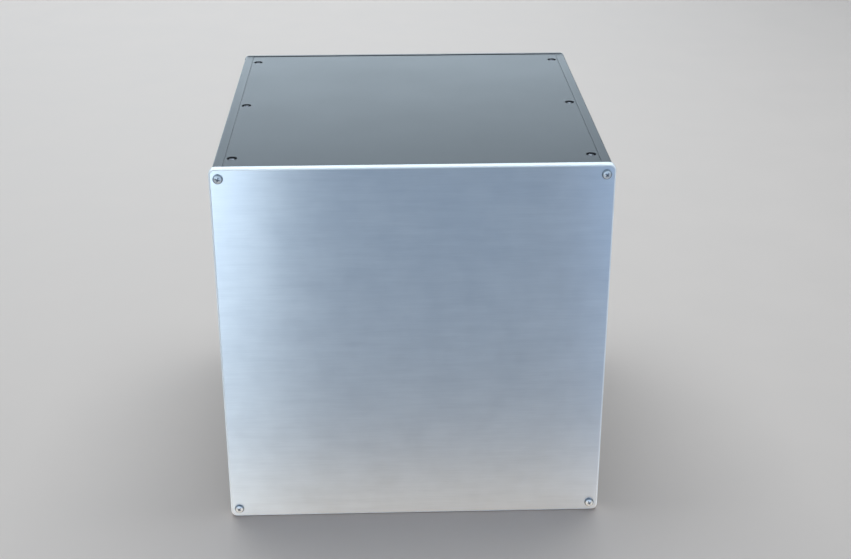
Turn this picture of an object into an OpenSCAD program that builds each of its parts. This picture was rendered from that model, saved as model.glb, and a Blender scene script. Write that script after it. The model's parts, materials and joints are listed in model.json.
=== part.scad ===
// Aluminium electronics chassis: two extruded side profiles, two cover plates that lie flush between
// them, and a thick front panel and a thin rear panel screwed to the ends of the profiles.
// X runs across the front, Y from front to rear and Z up. The origin is on the surface that the chassis
// stands on, at the middle of its footprint. All sizes are in millimetres.

/* [Body] */
// Width over the two side profiles
body_w = 305; // [200:1:420]
// Height of the side profiles, and over the two covers
body_h = 310; // [120:1:420]
// Length of the side profiles, from front panel to rear panel
body_d = 310; // [160:1:420]
// How far the front and rear panels stand proud of the covers, top and bottom
end_lip = 0.5; // [0.3:0.1:3]

/* [Front panel] */
// Thickness of the front panel
front_t = 6; // [4:0.5:10]
// How far the front panel overhangs each side of the body
front_side_lip = 2.5; // [0.5:0.1:5]
// Corner radius of the front panel
front_corner_r = 5; // [3:0.5:8]
// Radius of the rounded front edge of the front panel
front_edge_r = 1.5; // [0.5:0.1:2.5]

/* [Rear panel] */
// Thickness of the rear panel
rear_t = 3; // [2:0.5:5]
// How far the rear panel overhangs each side of the body
rear_side_lip = 1; // [0.5:0.1:3]
// Corner radius of the rear panel
rear_corner_r = 4; // [2:0.5:7]

/* [Side profiles] */
// Width of the strip that shows beside each cover
strip_w = 7.8; // [6.5:0.1:9]
// Thickness of the wall between the top and bottom rails
web_t = 4; // [3:0.5:6]
// How far the ledge under each cover reaches inwards from the strip
ledge_reach = 13; // [11:0.5:18]
// Thickness of the ledge under each cover
ledge_t = 6; // [5.5:0.5:9]
// Size of the sloping haunch between ledge and wall
haunch = 8; // [7:0.5:12]
// Radius of the rounded outer edges
side_edge_r = 1; // [0.5:0.1:2]

/* [Covers] */
// Thickness of each cover
cover_t = 3; // [2.8:0.1:4]
// Gap between a cover and the strip on each side
cover_side_gap = 0.15; // [0.1:0.05:0.8]
// Gap between a cover and the panel at each end
cover_end_gap = 0.3; // [0.2:0.1:0.8]
// Corner radius of each cover
cover_corner_r = 2.5; // [1:0.5:4]

/* [Cover screws] */
// Nominal diameter of the cover screws
cover_screw_d = 3; // [2.5:0.5:4]
// Length of the cover screws under the head
cover_screw_len = 6; // [5:0.5:8]
// Diameter of the domed head
cover_head_d = 5.6; // [5:0.1:6.4]
// Height of the domed head
cover_head_h = 2.3; // [1.8:0.1:2.6]
// Height of the straight rim under the dome
cover_head_rim = 0.6; // [0.4:0.1:0.9]
// Length of each bar of the cross recess
cover_recess_len = 2.9; // [2.4:0.1:3.4]
// Width of each bar of the cross recess
cover_recess_w = 0.8; // [0.6:0.1:1]
// Depth of the cross recess
cover_recess_depth = 1.2; // [0.8:0.1:1.6]
// Diameter of the counterbore that sinks each head into the cover
cover_bore_d = 8; // [7:0.1:9]
// Depth of the counterbore
cover_bore_depth = 2.1; // [1.6:0.1:2.3]
// Distance of the cover screws from the long edge of the cover
cover_screw_in = 5.5; // [4.8:0.1:6.5]
// Distance of the first cover screw from the front panel
cover_screw_front = 20; // [14:0.5:40]
// Distance of the last cover screw from the rear panel
cover_screw_rear = 20; // [14:0.5:40]
// Number of screws along each side of a cover
cover_screws_per_side = 3; // [2:1:5]

/* [Panel screws] */
// Nominal diameter of the panel screws
panel_screw_d = 4; // [3:0.5:4]
// Length of the front panel screws under the head
front_screw_len = 16; // [14:1:20]
// Length of the rear panel screws under the head
rear_screw_len = 12; // [10:1:16]
// Diameter of the domed head
panel_head_d = 7.8; // [7:0.1:8.2]
// Height of the domed head
panel_head_h = 2.6; // [2:0.1:3]
// Height of the straight rim under the dome
panel_head_rim = 0.7; // [0.4:0.1:1]
// Length of each bar of the cross recess
panel_recess_len = 4.2; // [3.4:0.1:4.6]
// Width of each bar of the cross recess
panel_recess_w = 1; // [0.8:0.1:1.3]
// Depth of the cross recess
panel_recess_depth = 1.6; // [1:0.1:1.9]
// Distance of the panel screws from the outer face of the side profiles
panel_screw_side = 4.7; // [4.2:0.1:5.2]
// Distance of the panel screws from the top and bottom of the side profiles
panel_screw_end = 7.3; // [6:0.1:8]

/* [Edges] */
// Radius of the softened edges of the covers and of the rear panel
thin_edge_r = 0.3; // [0.2:0.1:0.8]

/* [Fits] */
// Clearance between a screw and the plate it passes through, all round
hole_gap = 0.25; // [0.1:0.05:0.5]
// Clearance between a screw and its tapped hole, all round
thread_gap = 0.05; // [0.03:0.01:0.1]
// Extra depth of a tapped hole beyond the tip of its screw
tip_gap = 2; // [1:0.5:3]

/* [Hidden] */

$fn = 64;

// Overlap that keeps a cut clear of the face it starts from
cut = 1;

silver = "#c9ced4";
black_anodised = "#3a3d41";
black_oxide = "#17181a";
bright_nickel = "#b9bcc0";

// Outside sizes of the end panels
panel_h = body_h + 2 * end_lip;
front_w = body_w + 2 * front_side_lip;
rear_w = body_w + 2 * rear_side_lip;

// Faces of the pieces along Y and Z
front_y = -(front_t + body_d + rear_t) / 2;
body_front_y = front_y + front_t;
body_rear_y = body_front_y + body_d;
rear_y = body_rear_y + rear_t;
body_bottom_z = end_lip;
body_mid_z = panel_h / 2;

// Cover plates
cover_w = body_w - 2 * (strip_w + cover_side_gap);
cover_d = body_d - 2 * cover_end_gap;
rail_w = strip_w + ledge_reach;

// Places of the screws
cover_screw_x = cover_w / 2 - cover_screw_in;
cover_screw_first_y = body_front_y + cover_screw_front;
cover_screw_last_y = body_rear_y - cover_screw_rear;
cover_screw_step = (cover_screw_last_y - cover_screw_first_y) / (cover_screws_per_side - 1);
panel_screw_x = body_w / 2 - panel_screw_side;
panel_screw_z = [body_bottom_z + panel_screw_end, body_bottom_z + body_h - panel_screw_end];

// Heads of the screws as diameter, height and rim, and their recesses as length, width and depth
cover_head = [cover_head_d, cover_head_h, cover_head_rim];
cover_recess = [cover_recess_len, cover_recess_w, cover_recess_depth];
panel_head = [panel_head_d, panel_head_h, panel_head_rim];
panel_recess = [panel_recess_len, panel_recess_w, panel_recess_depth];

// Rectangle with round corners, centred on the origin
module round_rect(w, h, r) {
    square([w - 2 * r, h], center = true);
    square([w, h - 2 * r], center = true);
    for (x = [-1, 1], y = [-1, 1])
        translate([x * (w / 2 - r), y * (h / 2 - r)])
            circle(r);
}

// Section of a plate's border: the corner radius wide, with the outer edge of its face rounded
module border_section(thickness, corner_r, edge_r) {
    square([corner_r - edge_r, thickness]);
    square([corner_r, thickness - edge_r]);
    translate([corner_r - edge_r, thickness - edge_r])
        circle(edge_r);
}

// Plate with round corners that lies on its back, with the edge of its upper face rounded all round
module soft_plate(w, h, thickness, corner_r, edge_r) {
    translate([corner_r - w / 2, corner_r - h / 2, 0])
        cube([w - 2 * corner_r, h - 2 * corner_r, thickness]);
    for (side = [0 : 3]) {
        across = side % 2 == 0 ? w : h;
        along = side % 2 == 0 ? h : w;
        rotate(90 * side)
            translate([across / 2 - corner_r, 0, 0]) {
                rotate([90, 0, 0])
                    linear_extrude(along - 2 * corner_r, center = true)
                        border_section(thickness, corner_r, edge_r);
                translate([0, along / 2 - corner_r, 0])
                    rotate_extrude(angle = 90)
                        border_section(thickness, corner_r, edge_r);
            }
    }
}

// Places children at the four panel screws, with +Z of the child pointing out of the front
module at_panel_screws(y) {
    for (x = [-1, 1], z = panel_screw_z)
        translate([x * panel_screw_x, y, z])
            rotate([90, 0, 0])
                children();
}

// Places children at the cover screws along one side, or both, on the plane of a cover's face
module at_cover_screws(sides) {
    for (x = sides, i = [0 : cover_screws_per_side - 1])
        translate([x * cover_screw_x, cover_screw_first_y + i * cover_screw_step, body_h / 2])
            children();
}

// Turns a top piece over, about the middle of the body, to make the bottom one
module bottom_of_body() {
    mirror([0, 0, 1])
        children();
}

// Front panel: a thick plate that stands on its edge, with its rounded face to the front
module front_panel() {
    color(silver)
        difference() {
            translate([0, body_front_y, body_mid_z])
                rotate([90, 0, 0])
                    soft_plate(front_w, panel_h, front_t, front_corner_r, front_edge_r);
            panel_holes(front_y, front_t);
        }
}

// Clearance holes for the four panel screws
module panel_holes(y, thickness) {
    at_panel_screws(y + thickness + cut)
        cylinder(h = thickness + 2 * cut, d = panel_screw_d + 2 * hole_gap);
}

// Rear panel: a thinner plate, with its rounded face to the rear
module rear_panel() {
    color(black_anodised)
        difference() {
            translate([0, body_rear_y, body_mid_z])
                rotate([-90, 0, 0])
                    soft_plate(rear_w, panel_h, rear_t, rear_corner_r, thin_edge_r);
            panel_holes(body_rear_y, rear_t);
        }
}

// Section of the left side profile: a wall, and at each end of it a strip and a ledge for the cover
module side_section() {
    ledge_z = body_h / 2 - cover_t;
    under_z = ledge_z - ledge_t;
    half = [
        [0, body_h / 2], [strip_w, body_h / 2], [strip_w, ledge_z], [rail_w, ledge_z],
        [rail_w, under_z], [web_t + haunch, under_z], [web_t, under_z - haunch]
    ];
    last = len(half) - 1;
    mirrored = [for (i = [0 : last]) [half[last - i][0], -half[last - i][1]]];
    intersection() {
        polygon(concat(half, mirrored));
        translate([rail_w / 2 + side_edge_r, 0])
            round_rect(rail_w + 2 * side_edge_r, body_h, side_edge_r);
    }
}

// Left side profile: the extrusion, with tapped holes in its ends and along its ledges
module side_profile() {
    front_depth = front_screw_len - front_t + tip_gap;
    rear_depth = rear_screw_len - rear_t + tip_gap;
    difference() {
        translate([-body_w / 2, body_rear_y, body_mid_z])
            rotate([90, 0, 0])
                linear_extrude(body_d)
                    side_section();
        at_panel_screws(body_front_y + front_depth)
            end_hole(front_depth);
        at_panel_screws(body_rear_y + cut)
            end_hole(rear_depth);
        translate([0, 0, body_mid_z]) {
            ledge_holes();
            bottom_of_body()
                ledge_holes();
        }
    }
}

// Tapped hole for a panel screw, open at one end of the profile
module end_hole(depth) {
    cylinder(h = depth + cut, d = panel_screw_d + 2 * thread_gap);
}

// Tapped holes through one ledge
module ledge_holes() {
    at_cover_screws([-1])
        translate([0, 0, -cover_t - ledge_t - cut])
            cylinder(h = ledge_t + 2 * cut, d = cover_screw_d + 2 * thread_gap);
}

module left_side_panel() {
    color(black_anodised)
        side_profile();
}

module right_side_panel() {
    color(black_anodised)
        mirror([1, 0, 0])
            side_profile();
}

// Cover plate in the top position: round corners and a counterbored hole for each screw
module cover_plate() {
    difference() {
        translate([0, (body_front_y + body_rear_y) / 2, body_h / 2 - cover_t])
            soft_plate(cover_w, cover_d, cover_t, cover_corner_r, thin_edge_r);
        at_cover_screws([-1, 1]) {
            translate([0, 0, -cover_t - cut])
                cylinder(h = cover_t + 2 * cut, d = cover_screw_d + 2 * hole_gap);
            translate([0, 0, -cover_bore_depth])
                cylinder(h = cover_bore_depth + cut, d = cover_bore_d);
        }
    }
}

module top_cover() {
    color(black_anodised)
        translate([0, 0, body_mid_z])
            cover_plate();
}

module bottom_cover() {
    color(black_anodised)
        translate([0, 0, body_mid_z])
            bottom_of_body()
                cover_plate();
}

// Screw with a domed head and a cross recess. Its seat is at the origin and its head points up
module pan_screw(d, length, head, recess) {
    head_r = head[0] / 2;
    head_h = head[1];
    rim = head[2];
    dome_h = head_h - rim;
    dome_r = (pow(head_r, 2) + pow(dome_h, 2)) / (2 * dome_h);
    difference() {
        union() {
            rotate_extrude()
                intersection() {
                    square([head_r, head_h]);
                    translate([0, head_h - dome_r])
                        circle(dome_r);
                }
            translate([0, 0, -length])
                cylinder(h = length + rim / 2, d = d);
        }
        for (a = [0, 90])
            rotate(a)
                translate([-recess[0] / 2, -recess[1] / 2, head_h - recess[2]])
                    cube([recess[0], recess[1], recess[2] + cut]);
    }
}

module cover_screws() {
    at_cover_screws([-1, 1])
        translate([0, 0, -cover_bore_depth])
            pan_screw(cover_screw_d, cover_screw_len, cover_head, cover_recess);
}

module front_panel_screws() {
    color(bright_nickel)
        at_panel_screws(front_y)
            pan_screw(panel_screw_d, front_screw_len, panel_head, panel_recess);
}

module rear_panel_screws() {
    color(black_oxide)
        translate([0, rear_y, 0])
            mirror([0, 1, 0])
                at_panel_screws(0)
                    pan_screw(panel_screw_d, rear_screw_len, panel_head, panel_recess);
}

module top_cover_screws() {
    color(black_oxide)
        translate([0, 0, body_mid_z])
            cover_screws();
}

module bottom_cover_screws() {
    color(black_oxide)
        translate([0, 0, body_mid_z])
            bottom_of_body()
                cover_screws();
}

front_panel();
rear_panel();
left_side_panel();
right_side_panel();
top_cover();
bottom_cover();
front_panel_screws();
rear_panel_screws();
top_cover_screws();
bottom_cover_screws();
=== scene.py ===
"""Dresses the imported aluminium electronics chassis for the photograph's view and for export.

The silver front panel, the black rear panel, covers and side profiles, and all the screws are made again
here as finer meshes in the places that the CAD nodes give, and each gets a finish made of shader nodes.
All sizes are in metres, in the frame of the CAD model: X across the front, Y from front to rear and Z up.
"""

import json
import logging
import math
from collections.abc import Iterable, Mapping, Sequence
from dataclasses import dataclass
from enum import Enum
from typing import Any

import bmesh
import bpy
from mathutils import Matrix, Vector

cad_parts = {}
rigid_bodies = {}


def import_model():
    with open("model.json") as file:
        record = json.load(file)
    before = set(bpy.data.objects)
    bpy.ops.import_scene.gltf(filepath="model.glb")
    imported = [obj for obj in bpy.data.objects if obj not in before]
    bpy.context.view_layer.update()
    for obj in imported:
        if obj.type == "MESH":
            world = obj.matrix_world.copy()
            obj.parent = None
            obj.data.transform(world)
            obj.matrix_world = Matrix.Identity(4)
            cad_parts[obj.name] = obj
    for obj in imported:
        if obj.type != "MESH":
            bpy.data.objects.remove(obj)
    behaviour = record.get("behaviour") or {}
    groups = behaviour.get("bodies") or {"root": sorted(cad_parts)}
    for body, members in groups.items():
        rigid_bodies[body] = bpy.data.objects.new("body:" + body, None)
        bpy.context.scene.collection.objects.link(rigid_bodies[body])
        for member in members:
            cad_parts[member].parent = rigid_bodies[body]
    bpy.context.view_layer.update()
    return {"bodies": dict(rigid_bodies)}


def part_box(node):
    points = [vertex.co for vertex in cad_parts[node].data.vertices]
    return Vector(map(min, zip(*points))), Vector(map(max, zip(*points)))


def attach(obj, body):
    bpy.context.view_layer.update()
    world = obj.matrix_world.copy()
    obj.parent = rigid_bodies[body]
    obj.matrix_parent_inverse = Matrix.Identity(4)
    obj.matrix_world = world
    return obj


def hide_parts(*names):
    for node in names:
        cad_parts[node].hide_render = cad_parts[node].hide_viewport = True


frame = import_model()

MM = 0.001
# The chassis has no joints, so all of it is one body
(BODY,) = frame["bodies"]

# Edges that turn by more than this stay crisp, and flatter ones are shaded as one curve
CRISP_ANGLE = math.radians(32)
# Straight pieces in a rounded corner or edge, and round a hole or a screw
ARC_STEPS = 8
ROUND_STEPS = 48
# A pattern of soft lumps lies mostly between these values
PATTERN_LOW = 0.25
PATTERN_HIGH = 0.75

log = logging.getLogger("chassis")


def linear(colour: str) -> tuple[float, float, float, float]:
    """Turns an sRGB colour into the linear values that shaders use.

    Args:
        colour: The colour as a hex value, such as "#c9ced4".

    Returns:
        Red, green, blue and alpha.
    """
    channels = [int(colour[start:start + 2], 16) / 255 for start in (1, 3, 5)]
    red, green, blue = [c / 12.92 if c <= 0.04045 else ((c + 0.055) / 1.055) ** 2.4 for c in channels]
    return red, green, blue, 1.0


def add_node(
    tree: bpy.types.NodeTree,
    kind: str,
    settings: Mapping[str, Any] | None = None,
    inputs: Mapping[str | int, Any] | None = None,
) -> bpy.types.Node:
    """Adds one node to a tree, with its settings, values and links.

    Args:
        tree: The tree that gets the node.
        kind: Blender's name for the type of node.
        settings: Values for the node's own properties.
        inputs: For an input's name or number, the value to set there, the output to link to it, or a list of
            outputs.

    Returns:
        The new node.
    """
    node = tree.nodes.new(kind)
    for name, value in (settings or {}).items():
        setattr(node, name, value)
    for name, value in (inputs or {}).items():
        sources = value if isinstance(value, list) else [value]
        for source in sources:
            if isinstance(source, bpy.types.NodeSocket):
                tree.links.new(source, node.inputs[name])
            else:
                node.inputs[name].default_value = source
    return node


def rounded(corners: Iterable[tuple[float, float, float]]) -> list[Vector]:
    """Works out a closed outline with round corners.

    Args:
        corners: For each corner in turn, its two coordinates and its radius, which is 0 for a sharp corner.

    Returns:
        The points of the outline, in the order of the corners.
    """
    listed = list(corners)
    points = []
    for index, (x, y, radius) in enumerate(listed):
        corner = Vector((x, y))
        if not radius:
            points.append(corner)
            continue
        before = (Vector(listed[index - 1][:2]) - corner).normalized()
        after = (Vector(listed[(index + 1) % len(listed)][:2]) - corner).normalized()
        half = before.angle(after) / 2
        middle = corner + (before + after).normalized() * radius / math.sin(half)
        spoke = corner + before * radius / math.tan(half) - middle
        sweep = (math.pi - 2 * half) * (1 if before.cross(after) < 0 else -1)
        for step in range(ARC_STEPS + 1):
            points.append(middle + Matrix.Rotation(sweep * step / ARC_STEPS, 2) @ spoke)
    return points


def circle(x: float, y: float, radius: float) -> list[Vector]:
    """Gives the points of a circle, counter-clockwise."""
    turns = [2 * math.pi * step / ROUND_STEPS for step in range(ROUND_STEPS)]
    return [Vector((x + radius * math.cos(turn), y + radius * math.sin(turn))) for turn in turns]


def add_ring(bm: bmesh.types.BMesh, outline: Iterable[Vector], level: float) -> list[bmesh.types.BMVert]:
    """Adds the points of a flat outline to a mesh, at one level along Z."""
    return [bm.verts.new((point.x, point.y, level)) for point in outline]


def bridge(bm: bmesh.types.BMesh, rings: Sequence[Sequence[bmesh.types.BMVert]]) -> None:
    """Joins each ring of points to the next with a band of four-sided faces.

    Args:
        bm: The mesh that holds the rings.
        rings: Closed rings with the same number of points, in order.
    """
    for first, second in zip(rings, rings[1:]):
        count = len(first)
        for index in range(count):
            following = (index + 1) % count
            bm.faces.new((first[index], first[following], second[following], second[index]))


def ring_edges(bm: bmesh.types.BMesh, ring: Sequence[bmesh.types.BMVert]) -> list[bmesh.types.BMEdge]:
    """Gives the edges that join the points of a closed ring."""
    return [bm.edges.get((ring[index - 1], ring[index])) for index in range(len(ring))]


def to_mesh(bm: bmesh.types.BMesh, name: str) -> bpy.types.Mesh:
    """Turns a finished bmesh into a mesh whose faces all point outwards."""
    bmesh.ops.recalc_face_normals(bm, faces=bm.faces)
    mesh = bpy.data.meshes.new(name)
    bm.to_mesh(mesh)
    bm.free()
    return mesh


def evaluated(obj: bpy.types.Object, name: str) -> bpy.types.Mesh:
    """Gives a plain mesh of an object with its modifiers applied, and removes the object.

    Args:
        obj: A working object, which isn't a piece of the chassis.
        name: The name of the new mesh.

    Returns:
        The new mesh.
    """
    bpy.context.scene.collection.objects.link(obj)
    depsgraph = bpy.context.evaluated_depsgraph_get()
    mesh = bpy.data.meshes.new_from_object(
        obj.evaluated_get(depsgraph), preserve_all_data_layers=True, depsgraph=depsgraph
    )
    mesh.name = name
    bpy.data.objects.remove(obj)
    return mesh


def even_shading(mesh: bpy.types.Mesh) -> bpy.types.Mesh:
    """Shades curves smoothly, and keeps flat faces flat right up to their rounded edges."""
    mesh.shade_smooth()
    mesh.set_sharp_from_angle(angle=CRISP_ANGLE)
    working = bpy.data.objects.new(mesh.name, mesh)
    modifier = working.modifiers.new("even_shading", "WEIGHTED_NORMAL")
    modifier.mode = "FACE_AREA"
    modifier.keep_sharp = True
    return evaluated(working, mesh.name)


def start_tree(name: str, inputs: Mapping[str, str]) -> tuple[bpy.types.NodeTree, Mapping[str, Any]]:
    """Starts a Geometry Nodes tree that takes and gives geometry.

    Args:
        name: The tree's name.
        inputs: For the name of each other input, the type of its socket.

    Returns:
        The tree, and its inputs as sockets to link from.
    """
    tree = bpy.data.node_groups.new(name, "GeometryNodeTree")
    tree.interface.new_socket("Geometry", in_out="OUTPUT", socket_type="NodeSocketGeometry")
    for label, socket_type in {"Geometry": "NodeSocketGeometry", **inputs}.items():
        tree.interface.new_socket(label, in_out="INPUT", socket_type=socket_type)
    return tree, add_node(tree, "NodeGroupInput").outputs


def end_tree(tree: bpy.types.NodeTree, geometry: bpy.types.NodeSocket, finish: bpy.types.NodeSocket) -> None:
    """Ends a Geometry Nodes tree by making its instances real and giving them their finish."""
    real = add_node(tree, "GeometryNodeRealizeInstances", inputs={"Geometry": geometry})
    dressed = add_node(
        tree, "GeometryNodeSetMaterial", inputs={"Geometry": real.outputs["Geometry"], "Material": finish}
    )
    add_node(tree, "NodeGroupOutput", inputs={"Geometry": dressed.outputs["Geometry"]})


def run_tree(
    mesh: bpy.types.Mesh, tree: bpy.types.NodeTree, values: Mapping[str, Any], name: str
) -> bpy.types.Mesh:
    """Runs a Geometry Nodes tree on a mesh.

    Args:
        mesh: What the tree's Geometry input gets.
        tree: The tree to run.
        values: For the name of each other input, its value.
        name: The name of the new mesh.

    Returns:
        The result as a plain mesh.
    """
    working = bpy.data.objects.new(name, mesh)
    modifier = working.modifiers.new(tree.name, "NODES")
    modifier.node_group = tree
    for item in tree.interface.items_tree:
        if item.in_out == "INPUT" and item.name in values:
            modifier[item.identifier] = values[item.name]
    return evaluated(working, name)


class Facing(Enum):
    """Which way a plate's face or a screw's head points, as the directions that its own X, Y and Z take."""

    FRONT = ((1, 0, 0), (0, 0, 1), (0, -1, 0))
    REAR = ((-1, 0, 0), (0, 0, 1), (0, 1, 0))
    UP = ((1, 0, 0), (0, 1, 0), (0, 0, 1))
    DOWN = ((1, 0, 0), (0, -1, 0), (0, 0, -1))

    def turn(self) -> Matrix:
        """Gives the matrix that turns the piece's own axes to the frame's."""
        return Matrix(self.value).transposed().to_4x4()

    def box(self, node: str) -> tuple[Vector, Vector]:
        """Gives a CAD node's lowest and highest corners along the piece's own axes."""
        first, second = [self.turn().inverted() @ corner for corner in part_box(node)]
        return Vector(map(min, first, second)), Vector(map(max, first, second))


def lumps(
    tree: bpy.types.NodeTree, size: tuple[float, float, float], detail: float
) -> bpy.types.NodeSocket:
    """Adds a pattern of soft lumps with a real size, on Object coordinates.

    Args:
        tree: The material's tree.
        size: How long one lump is along X, Y and Z.
        detail: How many finer layers the pattern has.

    Returns:
        The pattern as a value around a half.
    """
    place = add_node(tree, "ShaderNodeTexCoord").outputs["Object"]
    scale = tuple(1 / length for length in size)
    mapped = add_node(tree, "ShaderNodeMapping", inputs={"Vector": place, "Scale": scale})
    settings = {"Vector": mapped.outputs["Vector"], "Scale": 1.0, "Detail": detail}
    return add_node(tree, "ShaderNodeTexNoise", inputs=settings).outputs[0]


@dataclass(frozen=True)
class Finish:
    """A surface that pieces are dressed in, with two close tones and a gloss that varies a little."""

    name: str
    dark: str
    light: str
    roughness: float
    roughness_spread: float

    def shader(self, tree: bpy.types.NodeTree) -> bpy.types.Node:
        """Adds the finish's nodes to a material's tree and gives the last one."""
        raise NotImplementedError

    def tones(
        self, tree: bpy.types.NodeTree, pattern: bpy.types.NodeSocket
    ) -> dict[str, bpy.types.NodeSocket]:
        """Makes the colour and the roughness follow a pattern.

        Args:
            tree: The material's tree.
            pattern: A value around a half.

        Returns:
            For the names of the shader's inputs, the outputs to link to them.
        """
        colour = add_node(
            tree,
            "ShaderNodeMix",
            {"data_type": "RGBA"},
            {"Factor": pattern, "A": linear(self.dark), "B": linear(self.light)},
        )
        gloss = add_node(
            tree,
            "ShaderNodeMapRange",
            inputs={
                "Value": pattern,
                "From Min": PATTERN_LOW,
                "From Max": PATTERN_HIGH,
                "To Min": self.roughness - self.roughness_spread,
                "To Max": self.roughness + self.roughness_spread,
            },
        )
        return {"Base Color": colour.outputs["Result"], "Roughness": gloss.outputs["Result"]}

    def material(self) -> bpy.types.Material:
        """Gives the finish's material, which is made the first time."""
        made = bpy.data.materials.get(self.name)
        if made is None:
            made = bpy.data.materials.new(self.name)
            made.use_nodes = True
            made.node_tree.nodes.clear()
            shader = self.shader(made.node_tree)
            add_node(made.node_tree, "ShaderNodeOutputMaterial", inputs={"Surface": shader.outputs["BSDF"]})
        return made


@dataclass(frozen=True)
class BrushedAluminium(Finish):
    """Aluminium plate, brushed from side to side and clear anodised.

    The eye sees a pale silver with soft reflections that are drawn out up and down, across the brush
    lines, and on it very faint short lines from side to side. The real lines are about 0.1 mm apart, which
    is too fine to show, so they are drawn coarser. The milled rim isn't brushed. It is more matt than the
    face and scatters some of the light, and its near-white colour is partly its own finish and partly a
    painted highlight along the edges, so it looks whiter.
    """

    face_y: float = 0.0
    # Near-white rim colour: partly the rim's own finish, partly a painted highlight along the edges
    rim: str = "#eef1f4"
    rim_roughness: float = 0.52
    rim_scatter: float = 0.4
    rim_blend: float = 0.03 * MM
    dark: str = "#b0bbc7"
    light: str = "#d8e1e9"
    roughness: float = 0.36
    roughness_spread: float = 0.03
    line_length: float = 20 * MM
    line_width: float = 0.9 * MM
    band_length: float = 60 * MM
    band_width: float = 5 * MM
    band_share: float = 0.60
    cloud: float = 24 * MM
    cloud_share: float = 0.43
    stretch: float = 0.95
    relief: float = 0.004 * MM
    uv_map: str = "across_brush_lines"

    def shader(self, tree: bpy.types.NodeTree) -> bpy.types.Node:
        """Adds metal whose colour, gloss and relief follow the brush lines."""
        lines = lumps(tree, (self.line_length, self.line_width, self.line_width), detail=2.0)
        bands = lumps(tree, (self.band_length, self.band_width, self.band_width), detail=3.0)
        clouds = lumps(tree, (self.cloud, self.cloud, self.cloud), detail=2.0)
        pattern = lines
        for share, other in ((self.band_share, bands), (self.cloud_share, clouds)):
            pattern = add_node(
                tree, "ShaderNodeMix", {"data_type": "FLOAT"}, {"Factor": share, "A": pattern, "B": other}
            ).outputs[0]
        bump = add_node(
            tree, "ShaderNodeBump", inputs={"Height": lines, "Strength": 1.0, "Distance": self.relief}
        )
        across = add_node(tree, "ShaderNodeTangent", {"direction_type": "UV_MAP", "uv_map": self.uv_map})
        place = add_node(tree, "ShaderNodeTexCoord").outputs["Object"]
        behind = add_node(tree, "ShaderNodeSeparateXYZ", inputs={"Vector": place}).outputs["Y"]
        # Mask of the rim, whose colour is partly its own finish and partly a painted highlight
        milled = add_node(
            tree,
            "ShaderNodeMapRange",
            inputs={"Value": behind, "From Min": self.face_y, "From Max": self.face_y + self.rim_blend},
        ).outputs["Result"]
        brushed = self.tones(tree, pattern)
        colour = add_node(
            tree,
            "ShaderNodeMix",
            {"data_type": "RGBA"},
            {"Factor": milled, "A": brushed["Base Color"], "B": linear(self.rim)},
        )
        gloss = add_node(
            tree,
            "ShaderNodeMix",
            {"data_type": "FLOAT"},
            {"Factor": milled, "A": brushed["Roughness"], "B": self.rim_roughness},
        )
        metal = add_node(
            tree,
            "ShaderNodeMix",
            {"data_type": "FLOAT"},
            {"Factor": milled, "A": 1.0, "B": 1.0 - self.rim_scatter},
        )
        return add_node(
            tree,
            "ShaderNodeBsdfPrincipled",
            inputs={
                "Base Color": colour.outputs["Result"],
                "Roughness": gloss.outputs["Result"],
                "Metallic": metal.outputs["Result"],
                "Anisotropic": self.stretch,
                "Normal": bump.outputs["Normal"],
                "Tangent": across.outputs["Tangent"],
            },
        )


@dataclass(frozen=True)
class BlackAnodised(Finish):
    """Aluminium, finely blasted or extruded, then dyed black and sealed.

    The eye sees a satin charcoal that is nearly black from straight on and turns to a smooth grey at a low
    angle, where the clear oxide mirrors the room. The grain is drawn at about twice its real size so that
    it shows.
    """

    dark: str = "#141517"
    light: str = "#1c1d20"
    roughness: float = 0.34
    roughness_spread: float = 0.03
    grain: tuple[float, float, float] = (0.5 * MM, 0.5 * MM, 0.5 * MM)
    cloud: tuple[float, float, float] = (60 * MM, 60 * MM, 60 * MM)
    cloud_share: float = 0.5
    ior: float = 1.75
    relief: float = 0.003 * MM

    def shader(self, tree: bpy.types.NodeTree) -> bpy.types.Node:
        """Adds a dark sealed oxide whose gloss varies with grain and clouding."""
        grain = lumps(tree, self.grain, detail=1.0)
        clouds = lumps(tree, self.cloud, detail=3.0)
        pattern = add_node(
            tree,
            "ShaderNodeMix",
            {"data_type": "FLOAT"},
            {"Factor": self.cloud_share, "A": grain, "B": clouds},
        )
        bump = add_node(
            tree, "ShaderNodeBump", inputs={"Height": grain, "Strength": 1.0, "Distance": self.relief}
        )
        return add_node(
            tree,
            "ShaderNodeBsdfPrincipled",
            inputs={
                **self.tones(tree, pattern.outputs[0]),
                "IOR": self.ior,
                "Normal": bump.outputs["Normal"],
            },
        )


@dataclass(frozen=True)
class PlatedSteel(Finish):
    """Cold-headed steel screw with a bright or a black plating.

    The eye sees a small smooth dome that mirrors the lights softly, with duller flecks where the plating
    is thin.
    """

    roughness_spread: float = 0.06
    fleck: float = 0.9 * MM

    def shader(self, tree: bpy.types.NodeTree) -> bpy.types.Node:
        """Adds metal with small flecks in its colour and gloss."""
        flecks = lumps(tree, (self.fleck, self.fleck, self.fleck), detail=3.0)
        return add_node(
            tree, "ShaderNodeBsdfPrincipled", inputs={**self.tones(tree, flecks), "Metallic": 1.0}
        )


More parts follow.
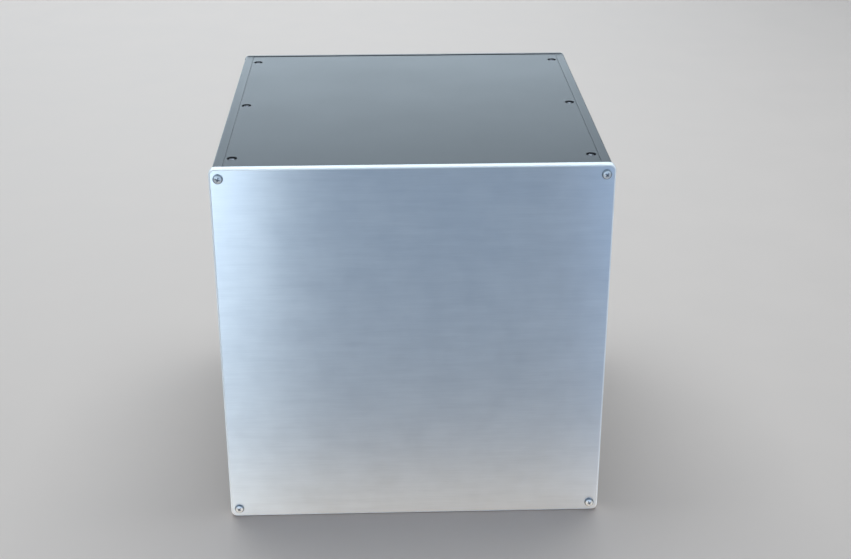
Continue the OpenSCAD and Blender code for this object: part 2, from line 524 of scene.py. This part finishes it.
@dataclass(frozen=True)
class PlatingWithPaintedShade(PlatedSteel):
    """Bright plated steel that is pale on the crown of the head, with painted shade that darkens the side of
    the head and its recess.

    The eye sees a pale dome with a darker ring of painted shade where it meets the plate, and a darker cross
    of painted shade in its recess.
    """

    crown_y: float = 0.0
    # Painted shade: the colour darkens from the first depth below the crown to the second, down to this
    # colour, over the side of the head and in its recess
    shade_start_depth: float = 0.8 * MM
    shade_full_depth: float = 1.2 * MM
    painted_shade_colour: str = "#78838e"

    def shader(self, tree: bpy.types.NodeTree) -> bpy.types.Node:
        """Adds the plating, with painted shade that darkens it from the crown of the head towards its sides
        and into its recess.
        """
        metal = super().shader(tree)
        place = add_node(tree, "ShaderNodeTexCoord").outputs["Object"]
        depth = add_node(tree, "ShaderNodeSeparateXYZ", inputs={"Vector": place}).outputs["Y"]
        # Painted shade that grows with depth below the crown of the head
        painted_shade_mask = add_node(
            tree,
            "ShaderNodeMapRange",
            inputs={
                "Value": depth,
                "From Min": self.crown_y + self.shade_start_depth,
                "From Max": self.crown_y + self.shade_full_depth,
            },
        ).outputs["Result"]
        plating = metal.inputs["Base Color"].links[0].from_socket
        colour = add_node(
            tree,
            "ShaderNodeMix",
            {"data_type": "RGBA"},
            {"Factor": painted_shade_mask, "A": plating, "B": linear(self.painted_shade_colour)},
        )
        tree.links.new(colour.outputs["Result"], metal.inputs["Base Color"])
        return metal


@dataclass(frozen=True)
class Thread:
    """The thread of a screw."""

    diameter: float
    pitch: float
    depth: float


@dataclass(frozen=True)
class DomedHead:
    """A domed screw head with a cross recess that narrows towards its floor."""

    diameter: float
    height: float
    dome_height: float
    rim_radius: float
    recess_width: float
    recess_bar: float
    recess_depth: float
    # How wide the recess is at its floor, as a share of its width at the top of the head
    recess_floor_share: float = 0.5
    under_break: float = 0.15 * MM

    def profile(self) -> list[tuple[float, float]]:
        """Works out the head's outline: a dome that turns into a short rim through a small fillet.

        Returns:
            The radius and level of each ring of points, from the top of the head, at level 0, to its seat.
        """
        radius = self.diameter / 2
        dome = (radius ** 2 + self.dome_height ** 2) / (2 * self.dome_height)
        fillet_x = radius - self.rim_radius
        fillet_z = math.sqrt((dome - self.rim_radius) ** 2 - fillet_x ** 2) - dome
        turn = math.acos(fillet_x / (dome - self.rim_radius))
        steps = 2 * ARC_STEPS
        rings = []
        for step in range(1, steps + 1):
            angle = math.pi / 2 + (turn - math.pi / 2) * step / steps
            rings.append((dome * math.cos(angle), dome * math.sin(angle) - dome))
        for step in range(1, ARC_STEPS + 1):
            angle = turn * (1 - step / ARC_STEPS)
            rings.append(
                (fillet_x + self.rim_radius * math.cos(angle), fillet_z + self.rim_radius * math.sin(angle))
            )
        rings.append((radius, self.under_break - self.height))
        rings.append((radius - self.under_break, -self.height))
        return rings


@dataclass(frozen=True)
class ScrewGrid:
    """The screws that hold one plate: where they stand on its face, and what they are like."""

    node: str
    facing: Facing
    columns: int
    rows: int
    head: DomedHead
    thread: Thread

    def tips(self) -> Vector:
        """Gives the middle of the grid, at the level of the screws' tips."""
        low, high = self.facing.box(self.node)
        return Vector(((low.x + high.x) / 2, (low.y + high.y) / 2, low.z))

    def spans(self) -> tuple[float, float]:
        """Gives the distances from the first column to the last and from the first row to the last."""
        low, high = self.facing.box(self.node)
        return high.x - low.x - self.head.diameter, high.y - low.y - self.head.diameter

    def places(self) -> list[tuple[float, float]]:
        """Gives the two coordinates of each screw's axis, column by column."""
        middle = self.tips()
        width, height = self.spans()
        across = [middle.x + width * (column / (self.columns - 1) - 0.5) for column in range(self.columns)]
        along = [middle.y + height * (row / (self.rows - 1) - 0.5) for row in range(self.rows)]
        return [(x, y) for x in across for y in along]


@dataclass(frozen=True)
class Hole:
    """A clearance hole for a screw, with a chamfered mouth. The screw's head stands on the face."""

    diameter: float
    chamfer: float

    def rings(self, thickness: float) -> list[tuple[float, float]]:
        """Works out the wall of the hole.

        Args:
            thickness: The thickness of the plate.

        Returns:
            The radius of each ring of points and its depth under the face, from the mouth to the back.
        """
        radius = self.diameter / 2
        return [(radius + self.chamfer, 0.0), (radius, self.chamfer), (radius, thickness)]

    def seat(self) -> float:
        """Gives how far under the face the screw's head sits."""
        return 0.0


@dataclass(frozen=True)
class Counterbore(Hole):
    """A clearance hole that starts as a wider bore with a flat floor, which the screw's head sinks into."""

    bore: float
    bore_depth: float

    def rings(self, thickness: float) -> list[tuple[float, float]]:
        """Works out the wall of the bore, its floor and the wall of the hole, as for a plain hole."""
        radius = self.diameter / 2
        bore_radius = self.bore / 2
        return [
            (bore_radius + self.chamfer, 0.0),
            (bore_radius, self.chamfer),
            (bore_radius, self.bore_depth),
            (radius, self.bore_depth),
            (radius, thickness),
        ]

    def seat(self) -> float:
        """Gives the depth of the bore's floor."""
        return self.bore_depth


@dataclass
class Piece:
    """A piece of the chassis that stands for one CAD node."""

    name: str
    node: str
    slot: str
    finish: Finish

    def mesh(self) -> bpy.types.Mesh:
        """Builds the piece's mesh in its place."""
        raise NotImplementedError

    def build(self) -> bpy.types.Object:
        """Builds the piece, dresses it and puts it in the place of its node.

        Returns:
            The finished object.
        """
        mesh = even_shading(self.mesh())
        mesh.materials.clear()
        mesh.materials.append(self.finish.material())
        piece = bpy.data.objects.new(self.name, mesh)
        bpy.context.scene.collection.objects.link(piece)
        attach(piece, BODY)
        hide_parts(self.node)
        return piece


@dataclass
class Plate(Piece):
    """A flat plate with round corners, a rounded face edge and a hole for each of its screws."""

    screws: ScrewGrid
    hole: Hole
    corner_radius: float
    edge_radius: float
    back_break: float = 0.2 * MM

    def rim(self, thickness: float) -> list[tuple[float, float]]:
        """Works out the section of the rim, from the back of the plate to its face.

        Args:
            thickness: The thickness of the plate.

        Returns:
            How far in from the outline and how high above the back each ring of points is.
        """
        section = [(self.back_break, 0.0), (0.0, self.back_break)]
        for step in range(ARC_STEPS + 1):
            angle = math.pi / 2 * step / ARC_STEPS
            inset = self.edge_radius * (1 - math.cos(angle))
            section.append((inset, thickness - self.edge_radius * (1 - math.sin(angle))))
        return section

    def outline(self, low: Vector, high: Vector, inset: float) -> list[Vector]:
        """Works out the plate's outline, moved in by some distance.

        Args:
            low: The lowest corner of the plate, along its own axes.
            high: The highest corner.
            inset: How far the outline is moved in.

        Returns:
            The points of the outline.
        """
        left, right = low.x + inset, high.x - inset
        bottom, top = low.y + inset, high.y - inset
        radius = self.corner_radius - inset
        corners = ((left, bottom), (right, bottom), (right, top), (left, top))
        return rounded((x, y, radius) for x, y in corners)

    def mesh(self) -> bpy.types.Mesh:
        """Builds the plate from the rings of its rim and its holes, and fills both faces."""
        facing = self.screws.facing
        low, high = facing.box(self.node)
        thickness = high.z - low.z
        bm = bmesh.new()
        rim = [
            add_ring(bm, self.outline(low, high, inset), low.z + level)
            for inset, level in self.rim(thickness)
        ]
        bridge(bm, rim)
        back_edges = ring_edges(bm, rim[0])
        face_edges = ring_edges(bm, rim[-1])
        for x, y in self.screws.places():
            wall = [
                add_ring(bm, circle(x, y, radius), high.z - depth)
                for radius, depth in self.hole.rings(thickness)
            ]
            bridge(bm, wall)
            face_edges += ring_edges(bm, wall[0])
            back_edges += ring_edges(bm, wall[-1])
        for edges, side in ((face_edges, 1), (back_edges, -1)):
            bmesh.ops.triangle_fill(bm, use_beauty=True, edges=edges, normal=(0, 0, side))
        mesh = to_mesh(bm, self.name)
        mesh.transform(facing.turn())
        return mesh


@dataclass
class FrontPanel(Plate):
    """The thick silver plate, with a map that tells its finish which way lies across the brush lines."""

    hole: Hole = Hole(diameter=4.5 * MM, chamfer=0.3 * MM)
    corner_radius: float = 5 * MM
    edge_radius: float = 1.5 * MM

    def mesh(self) -> bpy.types.Mesh:
        """Builds the plate and lays the map over its face and its rim."""
        mesh = super().mesh()
        uv = mesh.uv_layers.new(name=self.finish.uv_map)
        face_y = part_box(self.node)[0].y
        for polygon in mesh.polygons:
            for corner in polygon.loop_indices:
                vertex = mesh.vertices[mesh.loops[corner].vertex_index]
                behind = vertex.co.y - face_y
                along_z = vertex.co.z + behind * polygon.normal.z
                along_x = vertex.co.x + behind * polygon.normal.x
                uv.data[corner].uv = (along_z, along_x)
        return mesh


@dataclass
class RearPanel(Plate):
    """The thinner black plate at the back."""

    hole: Hole = Hole(diameter=4.5 * MM, chamfer=0.3 * MM)
    corner_radius: float = 4 * MM
    edge_radius: float = 0.3 * MM


@dataclass
class Cover(Plate):
    """A black plate that lies between the side profiles, with its screws sunk into counterbores."""

    hole: Hole = Counterbore(diameter=3.5 * MM, chamfer=0.15 * MM, bore=8 * MM, bore_depth=2.1 * MM)
    corner_radius: float = 2.5 * MM
    edge_radius: float = 0.3 * MM


@dataclass
class SideProfile(Piece):
    """An extruded side: a wall, and at top and bottom a strip beside the cover and a ledge under it."""

    inward: int
    front_screws: ScrewGrid
    rear_screws: ScrewGrid
    cover_screws: ScrewGrid
    cover: str = "top_cover"
    strip_width: float = 7.8 * MM
    wall: float = 4 * MM
    ledge_thickness: float = 6 * MM
    haunch: float = 8 * MM
    outer_radius: float = 1 * MM
    seam_radius: float = 0.25 * MM
    thread_gap: float = 0.05 * MM
    tip_gap: float = 2 * MM

    def ledge_drop(self) -> float:
        """Gives how far under the top of the profile its ledge is, which is the cover's thickness."""
        low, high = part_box(self.cover)
        return high.z - low.z

    def section(self) -> list[Vector]:
        """Works out the section of the extrusion, across X and Z, from the frame and the profile's sizes."""
        low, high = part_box(self.node)
        middle = (low.z + high.z) / 2
        half = (high.z - low.z) / 2
        reach = high.x - low.x
        outer = low.x if self.inward > 0 else high.x
        ledge = half - self.ledge_drop()
        under = ledge - self.ledge_thickness
        upper = [
            (0.0, half, self.outer_radius),
            (self.strip_width, half, self.seam_radius),
            (self.strip_width, ledge, 0.0),
            (reach, ledge, self.seam_radius),
            (reach, under, self.seam_radius),
            (self.wall + self.haunch, under, 0.0),
            (self.wall, under - self.haunch, self.outer_radius),
        ]
        lower = [(x, -z, radius) for x, z, radius in reversed(upper)]
        return rounded((outer + self.inward * x, middle + z, radius) for x, z, radius in upper + lower)

    def body(self) -> bpy.types.Mesh:
        """Builds the plain extrusion from its section."""
        low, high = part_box(self.node)
        bm = bmesh.new()
        ends = [[bm.verts.new((point.x, y, point.y)) for point in self.section()] for y in (low.y, high.y)]
        bridge(bm, ends)
        for end in ends:
            bm.faces.new(end)
        return to_mesh(bm, self.name)

    def mesh(self) -> bpy.types.Mesh:
        """Drills the tapped holes into the ends and the ledges of the plain extrusion."""
        low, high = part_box(self.node)
        drop = self.ledge_drop()
        (end_x, low_z), (_, high_z) = [(x, z) for x, z in self.front_screws.places() if low.x < x < high.x]
        ledge_places = [(x, y) for x, y in self.cover_screws.places() if low.x < x < high.x]
        (ledge_x, first_y), (_, second_y) = ledge_places[:2]
        front_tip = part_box(self.front_screws.node)[1].y
        rear_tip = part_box(self.rear_screws.node)[0].y
        values = {
            "End Radius": self.front_screws.thread.diameter / 2 + self.thread_gap,
            "Front Start": (end_x, low.y, low_z),
            "Front Depth": front_tip - low.y + self.tip_gap,
            "Rear Start": (end_x, high.y, low_z),
            "Rear Depth": high.y - rear_tip + self.tip_gap,
            "End Step": (0.0, 0.0, high_z - low_z),
            "Ledge Radius": self.cover_screws.thread.diameter / 2 + self.thread_gap,
            "Top Start": (ledge_x, first_y, high.z - drop),
            "Bottom Start": (ledge_x, first_y, low.z + drop),
            "Ledge Depth": self.ledge_thickness + self.tip_gap,
            "Ledge Step": (0.0, second_y - first_y, 0.0),
            "Ledge Count": len(ledge_places),
            "Finish": self.finish.material(),
        }
        return run_tree(self.body(), self.drilling_tree(), values, self.name)

    @staticmethod
    def drilling_tree() -> bpy.types.NodeTree:
        """Makes the tree that drills the tapped holes of a side profile.

        Returns:
            The tree, which is made the first time.
        """
        name = "tapped_holes"
        if name in bpy.data.node_groups:
            return bpy.data.node_groups[name]
        vector, number = "NodeSocketVector", "NodeSocketFloat"
        tree, given = start_tree(
            name,
            {
                "End Radius": number,
                "Front Start": vector,
                "Front Depth": number,
                "Rear Start": vector,
                "Rear Depth": number,
                "End Step": vector,
                "Ledge Radius": number,
                "Top Start": vector,
                "Bottom Start": vector,
                "Ledge Depth": number,
                "Ledge Step": vector,
                "Ledge Count": "NodeSocketInt",
                "Finish": "NodeSocketMaterial",
            },
        )
        along_y = (math.pi / 2, 0.0, 0.0)
        along_z = (0.0, 0.0, 0.0)
        holes_per_end = 2
        ends = (given["End Radius"], holes_per_end, given["End Step"], along_y)
        ledges = (given["Ledge Radius"], given["Ledge Count"], given["Ledge Step"], along_z)
        drills = []
        for start, depth, (radius, count, step, turn) in (
            (given["Front Start"], given["Front Depth"], ends),
            (given["Rear Start"], given["Rear Depth"], ends),
            (given["Top Start"], given["Ledge Depth"], ledges),
            (given["Bottom Start"], given["Ledge Depth"], ledges),
        ):
            # The drill is centred on the face that it enters, so it is twice as long as the hole is deep
            length = add_node(tree, "ShaderNodeMath", {"operation": "MULTIPLY"}, {0: depth, 1: 2.0})
            drill = add_node(
                tree,
                "GeometryNodeMeshCylinder",
                inputs={"Vertices": ROUND_STEPS, "Radius": radius, "Depth": length.outputs[0]},
            )
            row = add_node(
                tree, "GeometryNodeMeshLine", inputs={"Count": count, "Start Location": start, "Offset": step}
            )
            placed = add_node(
                tree,
                "GeometryNodeInstanceOnPoints",
                inputs={"Points": row.outputs["Mesh"], "Instance": drill.outputs["Mesh"], "Rotation": turn},
            )
            real = add_node(tree, "GeometryNodeRealizeInstances", inputs={0: placed.outputs[0]})
            drills.append(real.outputs[0])
        drilled = add_node(
            tree,
            "GeometryNodeMeshBoolean",
            {"operation": "DIFFERENCE", "solver": "EXACT"},
            {"Mesh 1": given["Geometry"], "Mesh 2": drills},
        )
        end_tree(tree, drilled.outputs["Mesh"], given["Finish"])
        return tree


@dataclass
class ScrewSet(Piece):
    """The screws of one plate: one threaded blank, given its recess and repeated by Geometry Nodes."""

    plate: Plate
    turn_seed: int
    point: float = 0.5 * MM
    rings_per_turn: int = 6

    def shank(self) -> float:
        """Gives the length of a screw under its head, from the head's seat to the tip."""
        screws = self.plate.screws
        face = screws.facing.box(self.plate.node)[1].z
        return face - self.plate.hole.seat() - screws.tips().z

    def blank(self) -> bpy.types.Mesh:
        """Builds one screw without its recess: the head, and a shank with a helical thread.

        Returns:
            A closed mesh whose head's top is at the origin.
        """
        screws = self.plate.screws
        thread = screws.thread
        bm = bmesh.new()
        rings = [add_ring(bm, circle(0, 0, radius), level) for radius, level in screws.head.profile()]
        start = -screws.head.height
        end = start - self.shank()
        count = math.ceil((start - end) / thread.pitch * self.rings_per_turn)
        for step in range(count + 1):
            level = start + (end - start) * step / count
            shown = min(1.0, (start - level) / thread.pitch, (level - end) / self.point)
            ring = []
            for point in circle(0, 0, 1):
                phase = (math.atan2(point.y, point.x) / (2 * math.pi) - level / thread.pitch) % 1
                crest = 1 - abs(2 * phase - 1)
                radius = thread.diameter / 2 - thread.depth * (1 - shown * crest)
                ring.append(bm.verts.new((point.x * radius, point.y * radius, level)))
            rings.append(ring)
        bridge(bm, rings)
        bm.faces.new(rings[-1])
        top = bm.verts.new((0, 0, 0))
        for index in range(ROUND_STEPS):
            bm.faces.new((rings[0][index - 1], rings[0][index], top))
        return to_mesh(bm, self.name)

    def mesh(self) -> bpy.types.Mesh:
        """Cuts the recess into the blank and sets a screw at each place of the grid."""
        screws = self.plate.screws
        head = screws.head
        width, height = screws.spans()
        values = {
            "Columns": screws.columns,
            "Rows": screws.rows,
            "Width": width,
            "Height": height,
            # The cutter reaches as far above the top of the head as below it
            "Recess Bar": (head.recess_width, head.recess_bar, 2 * head.recess_depth),
            "Recess Floor": (0.0, 0.0, -head.recess_depth),
            # The cutter widens above the top of the head by as much as it narrows below
            "Floor Radius": head.recess_floor_share * head.recess_width / 2,
            "Upper Radius": (2 - head.recess_floor_share) * head.recess_width / 2,
            "Turn Seed": self.turn_seed,
            "Finish": self.finish.material(),
        }
        mesh = run_tree(self.blank(), self.screw_tree(), values, self.name)
        top = screws.tips() + Vector((0, 0, self.shank() + head.height))
        mesh.transform(screws.facing.turn() @ Matrix.Translation(top))
        return mesh

    @staticmethod
    def screw_tree() -> bpy.types.NodeTree:
        """Makes the tree that cuts a cross recess into a screw and repeats the screw over a grid.

        Returns:
            The tree, which is made the first time.
        """
        name = "screws_with_cross_recess"
        if name in bpy.data.node_groups:
            return bpy.data.node_groups[name]
        vector, number, whole = "NodeSocketVector", "NodeSocketFloat", "NodeSocketInt"
        tree, given = start_tree(
            name,
            {
                "Columns": whole,
                "Rows": whole,
                "Width": number,
                "Height": number,
                "Recess Bar": vector,
                "Recess Floor": vector,
                "Floor Radius": number,
                "Upper Radius": number,
                "Turn Seed": whole,
                "Finish": "NodeSocketMaterial",
            },
        )
        bar = add_node(tree, "GeometryNodeMeshCube", inputs={"Size": given["Recess Bar"]}).outputs["Mesh"]
        other_bar = add_node(
            tree, "GeometryNodeTransform", inputs={"Geometry": bar, "Rotation": (0.0, 0.0, math.pi / 2)}
        ).outputs["Geometry"]
        cross = add_node(
            tree, "GeometryNodeMeshBoolean", {"operation": "UNION", "solver": "EXACT"}, {1: [bar, other_bar]}
        ).outputs["Mesh"]
        bar_size = add_node(tree, "ShaderNodeSeparateXYZ", inputs={"Vector": given["Recess Bar"]})
        cone = add_node(
            tree,
            "GeometryNodeMeshCone",
            inputs={
                "Vertices": ROUND_STEPS,
                "Radius Top": given["Upper Radius"],
                "Radius Bottom": given["Floor Radius"],
                "Depth": bar_size.outputs["Z"],
            },
        )
        sunk = add_node(
            tree,
            "GeometryNodeTransform",
            inputs={"Geometry": cone.outputs["Mesh"], "Translation": given["Recess Floor"]},
        ).outputs["Geometry"]
        cutter = add_node(
            tree, "GeometryNodeMeshBoolean", {"operation": "INTERSECT", "solver": "EXACT"}, {1: [cross, sunk]}
        )
        cut = add_node(
            tree,
            "GeometryNodeMeshBoolean",
            {"operation": "DIFFERENCE", "solver": "EXACT"},
            {"Mesh 1": given["Geometry"], "Mesh 2": cutter.outputs["Mesh"]},
        )
        places = add_node(
            tree,
            "GeometryNodeMeshGrid",
            inputs={
                "Size X": given["Width"],
                "Size Y": given["Height"],
                "Vertices X": given["Columns"],
                "Vertices Y": given["Rows"],
            },
        )
        spin = add_node(
            tree,
            "FunctionNodeRandomValue",
            {"data_type": "FLOAT"},
            {"Min": 0.0, "Max": 2 * math.pi, "Seed": given["Turn Seed"]},
        )
        (angle,) = [output for output in spin.outputs if output.enabled]
        turned = add_node(tree, "ShaderNodeCombineXYZ", inputs={"Z": angle})
        placed = add_node(
            tree,
            "GeometryNodeInstanceOnPoints",
            inputs={
                "Points": places.outputs["Mesh"],
                "Instance": cut.outputs["Mesh"],
                "Rotation": turned.outputs[0],
            },
        )
        end_tree(tree, placed.outputs["Instances"], given["Finish"])
        return tree


@dataclass(frozen=True)
class PaintedFloor(Finish):
    """Matt painted board: an even, pale and slightly warm grey with a faint mottle."""

    dark: str = "#e6d4c8"
    light: str = "#ebd9cd"
    roughness: float = 0.7
    roughness_spread: float = 0.05
    mottle: float = 90 * MM

    def shader(self, tree: bpy.types.NodeTree) -> bpy.types.Node:
        """Adds matt paint with a faint mottle."""
        mottle = lumps(tree, (self.mottle, self.mottle, self.mottle), detail=3.0)
        return add_node(tree, "ShaderNodeBsdfPrincipled", inputs=self.tones(tree, mottle))


@dataclass(frozen=True)
class Softbox:
    """A soft rectangular light that is aimed at a point and isn't seen by the camera."""

    name: str
    place: tuple[float, float, float]
    width: float
    height: float
    brightness: float
    colour: str
    aim: tuple[float, float, float] = (0.0, 0.0, 0.15)
    spares_floor: bool = False

    def build(self, unlit: bpy.types.Collection) -> None:
        """Adds the light, with a power that gives its face the wanted brightness, where 1 is white.

        Args:
            unlit: The floor, which a light that spares it leaves unlit, so that it shows no bright patch.
        """
        lamp = bpy.data.lights.new(self.name, "AREA")
        lamp.shape = "RECTANGLE"
        lamp.size = self.width
        lamp.size_y = self.height
        lamp.color = linear(self.colour)[:3]
        lamp.energy = self.brightness * math.pi * self.width * self.height
        light = bpy.data.objects.new(self.name, lamp)
        light.location = self.place
        light.rotation_euler = (Vector(self.aim) - Vector(self.place)).to_track_quat("-Z", "Y").to_euler()
        light.visible_camera = False
        if self.spares_floor:
            light.light_linking.receiver_collection = unlit
        bpy.context.scene.collection.objects.link(light)


@dataclass(frozen=True)
class Ramp:
    """A smooth change of the room's light along one axis of the direction that is looked in."""

    axis: str
    start: float
    end: float
    first: float
    last: float


@dataclass(frozen=True)
class Studio:
    """The floor, the room, the lights and the camera."""

    floor_radius: float = 25.0
    floor_gap: float = 0.1 * MM
    bright_wall: str = "#95a6b3"
    dim_room: str = "#596573"
    wall_begins: Ramp = Ramp("Y", start=0.1, end=0.6, first=0.0, last=1.0)
    wall_fades: Ramp = Ramp("Z", start=0.20, end=0.65, first=1.0, last=0.25)
    horizon: Ramp = Ramp("Z", start=0.05, end=0.24, first=0.65, last=0.0)
    camera_place: tuple[float, float, float] = (-0.02270, -1.16546, 0.67526)
    camera_pitch: float = 24.466
    camera_yaw: float = 1.822
    camera_roll: float = -0.086
    lens: float = 59.62
    sensor: float = 36.0
    lights: tuple[Softbox, ...] = (
        Softbox(
            "window_left", place=(-0.30, -1.02, 0.31), aim=(-0.30, 0.0, 0.31),
            width=0.20, height=0.6, brightness=4.5, colour="#e6f4ff", spares_floor=True,
        ),
        Softbox(
            "fill_middle", place=(0.02, -1.02, 0.08), aim=(0.02, 0.0, 0.08),
            width=0.40, height=0.15, brightness=1.7, colour="#acd6ff", spares_floor=True,
        ),
        Softbox(
            "fill_right", place=(0.44, -1.02, 0.13), aim=(0.44, 0.0, 0.13),
            width=0.36, height=0.24, brightness=3.0, colour="#b8d8ff", spares_floor=True,
        ),
        Softbox(
            "front_high", place=(0.0, -1.6, 1.35), aim=(0.0, 0.0, 0.31),
            width=1.6, height=0.25, brightness=1.8, colour="#d8eaff",
        ),
        Softbox(
            "bounce_card", place=(-0.01, -0.209, 0.0006), aim=(-0.01, -0.209, 1.0),
            width=0.44, height=0.098, brightness=0.82, colour="#ffe3bf",
        ),
        Softbox(
            "wall_glow", place=(-0.55, 2.4, 0.80), aim=(0.0, 0.0, 0.31),
            width=2.9, height=0.40, brightness=4.2, colour="#e2f3ff",
        ),
        Softbox(
            "overhead", place=(0.0, 0.6, 2.40), aim=(0.0, 0.6, 0.0),
            width=2.4, height=1.8, brightness=3.6, colour="#e7f6ff",
        ),
        Softbox(
            "side_left", place=(-2.0, -0.2, 1.70),
            width=1.6, height=1.6, brightness=4.4, colour="#e9f5ff", spares_floor=True,
        ),
        Softbox(
            "side_right", place=(2.0, -0.2, 1.70),
            width=1.6, height=1.6, brightness=4.2, colour="#e9f5ff", spares_floor=True,
        ),
    )

    def floor(self) -> bpy.types.Object:
        """Adds the round floor that the chassis stands on."""
        bm = bmesh.new()
        bm.faces.new(add_ring(bm, circle(0, 0, self.floor_radius), -self.floor_gap))
        floor = bpy.data.objects.new("floor", to_mesh(bm, "floor"))
        floor.data.materials.append(PaintedFloor("board_matt_painted").material())
        bpy.context.scene.collection.objects.link(floor)
        return floor

    def room(self) -> None:
        """Lights the world as a pale wall behind the chassis that fades upwards, in a dimmer room."""
        world = bpy.data.worlds.new("room")
        bpy.context.scene.world = world
        world.use_nodes = True
        tree = world.node_tree
        tree.nodes.clear()
        direction = add_node(tree, "ShaderNodeTexCoord").outputs["Generated"]
        axes = add_node(tree, "ShaderNodeSeparateXYZ", inputs={"Vector": direction})
        begins, fades, horizon = [
            add_node(
                tree,
                "ShaderNodeMapRange",
                {"interpolation_type": "SMOOTHSTEP"},
                {
                    "Value": axes.outputs[ramp.axis],
                    "From Min": ramp.start,
                    "From Max": ramp.end,
                    "To Min": ramp.first,
                    "To Max": ramp.last,
                },
            ).outputs["Result"]
            for ramp in (self.wall_begins, self.wall_fades, self.horizon)
        ]
        wall = add_node(tree, "ShaderNodeMath", {"operation": "MULTIPLY"}, {0: begins, 1: fades})
        pale = add_node(tree, "ShaderNodeMath", {"operation": "MAXIMUM"}, {0: wall.outputs[0], 1: horizon})
        colour = add_node(
            tree,
            "ShaderNodeMix",
            {"data_type": "RGBA"},
            {"Factor": pale.outputs[0], "A": linear(self.dim_room), "B": linear(self.bright_wall)},
        )
        shade = add_node(
            tree, "ShaderNodeBackground", inputs={"Color": colour.outputs["Result"], "Strength": 1.0}
        )
        add_node(tree, "ShaderNodeOutputWorld", inputs={"Surface": shade.outputs["Background"]})

    def camera(self) -> None:
        """Sets up the camera at the photograph's viewing angle."""
        data = bpy.data.cameras.new("camera")
        data.sensor_fit = "HORIZONTAL"
        data.sensor_width = self.sensor
        data.lens = self.lens
        camera = bpy.data.objects.new("camera", data)
        bpy.context.scene.collection.objects.link(camera)
        turn = (
            Matrix.Rotation(math.radians(-self.camera_yaw), 4, "Z")
            @ Matrix.Rotation(math.radians(90 - self.camera_pitch), 4, "X")
            @ Matrix.Rotation(math.radians(self.camera_roll), 4, "Z")
        )
        camera.matrix_world = Matrix.Translation(self.camera_place) @ turn
        bpy.context.scene.camera = camera

    def build(self) -> None:
        """Sets up the whole studio."""
        bpy.context.scene.view_settings.view_transform = "Standard"
        unlit = bpy.data.collections.new("unlit_floor")
        unlit.objects.link(self.floor())
        unlit.collection_objects[0].light_linking.link_state = "EXCLUDE"
        self.room()
        for light in self.lights:
            light.build(unlit)
        self.camera()


def main() -> None:
    """Builds the studio and every piece of the chassis, and reports each one."""
    logging.basicConfig(level=logging.INFO, format="%(name)s: %(message)s")
    Studio().build()

    silver = BrushedAluminium(
        "aluminium_plate_brushed_clear_anodised", face_y=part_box("front_panel")[0].y
    )
    black_sheet = BlackAnodised("aluminium_sheet_blasted_black_anodised")
    black_extrusion = BlackAnodised(
        "aluminium_extrusion_black_anodised",
        grain=(0.7 * MM, 40 * MM, 0.7 * MM),
        cloud=(50 * MM, 200 * MM, 50 * MM),
    )
    nickel = PlatingWithPaintedShade(
        "steel_nickel_plated",
        dark="#d7e0e9",
        light="#e8f0f8",
        roughness=0.50,
        crown_y=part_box("front_panel_screws")[0].y,
    )
    black_zinc = PlatedSteel("steel_black_zinc_plated", dark="#5c5d61", light="#74757a", roughness=0.28)

    panel_head = DomedHead(
        diameter=7.8 * MM, height=2.6 * MM, dome_height=1.9 * MM, rim_radius=0.6 * MM,
        recess_width=4.2 * MM, recess_bar=1 * MM, recess_depth=1.8 * MM,
    )
    cover_head = DomedHead(
        diameter=5.6 * MM, height=2.3 * MM, dome_height=1.7 * MM, rim_radius=0.35 * MM,
        recess_width=2.9 * MM, recess_bar=0.8 * MM, recess_depth=1.2 * MM,
    )
    panel_thread = Thread(diameter=4 * MM, pitch=0.7 * MM, depth=0.35 * MM)
    cover_thread = Thread(diameter=3 * MM, pitch=0.5 * MM, depth=0.25 * MM)
    front_grid = ScrewGrid(
        "front_panel_screws", Facing.FRONT, columns=2, rows=2, head=panel_head, thread=panel_thread
    )
    rear_grid = ScrewGrid(
        "rear_panel_screws", Facing.REAR, columns=2, rows=2, head=panel_head, thread=panel_thread
    )
    top_grid = ScrewGrid(
        "top_cover_screws", Facing.UP, columns=2, rows=3, head=cover_head, thread=cover_thread
    )
    bottom_grid = ScrewGrid(
        "bottom_cover_screws", Facing.DOWN, columns=2, rows=3, head=cover_head, thread=cover_thread
    )

    front = FrontPanel("silver_front_panel", "front_panel", "brushed_silver", silver, front_grid)
    rear = RearPanel("black_rear_panel", "rear_panel", "black_anodised", black_sheet, rear_grid)
    top = Cover("black_top_cover", "top_cover", "black_anodised", black_sheet, top_grid)
    bottom = Cover("black_bottom_cover", "bottom_cover", "black_anodised", black_sheet, bottom_grid)
    sides = [
        SideProfile(name, node, "black_anodised", black_extrusion, inward, front_grid, rear_grid, top_grid)
        for name, node, inward in (
            ("black_left_side", "left_side_panel", 1),
            ("black_right_side", "right_side_panel", -1),
        )
    ]
    screws = [
        ScrewSet(name, plate.screws.node, slot, finish, plate, turn_seed=seed)
        for name, slot, finish, plate, seed in (
            ("silver_front_screws", "nickel_screw", nickel, front, 3),
            ("black_rear_screws", "black_screw", black_zinc, rear, 5),
            ("black_top_screws", "black_screw", black_zinc, top, 7),
            ("black_bottom_screws", "black_screw", black_zinc, bottom, 11),
        )
    ]
    for piece in (front, rear, *sides, top, bottom, *screws):
        made = piece.build()
        log.info("%s stands for %s with %d faces", made.name, piece.node, len(made.data.polygons))


if __name__ == "__main__":
    main()
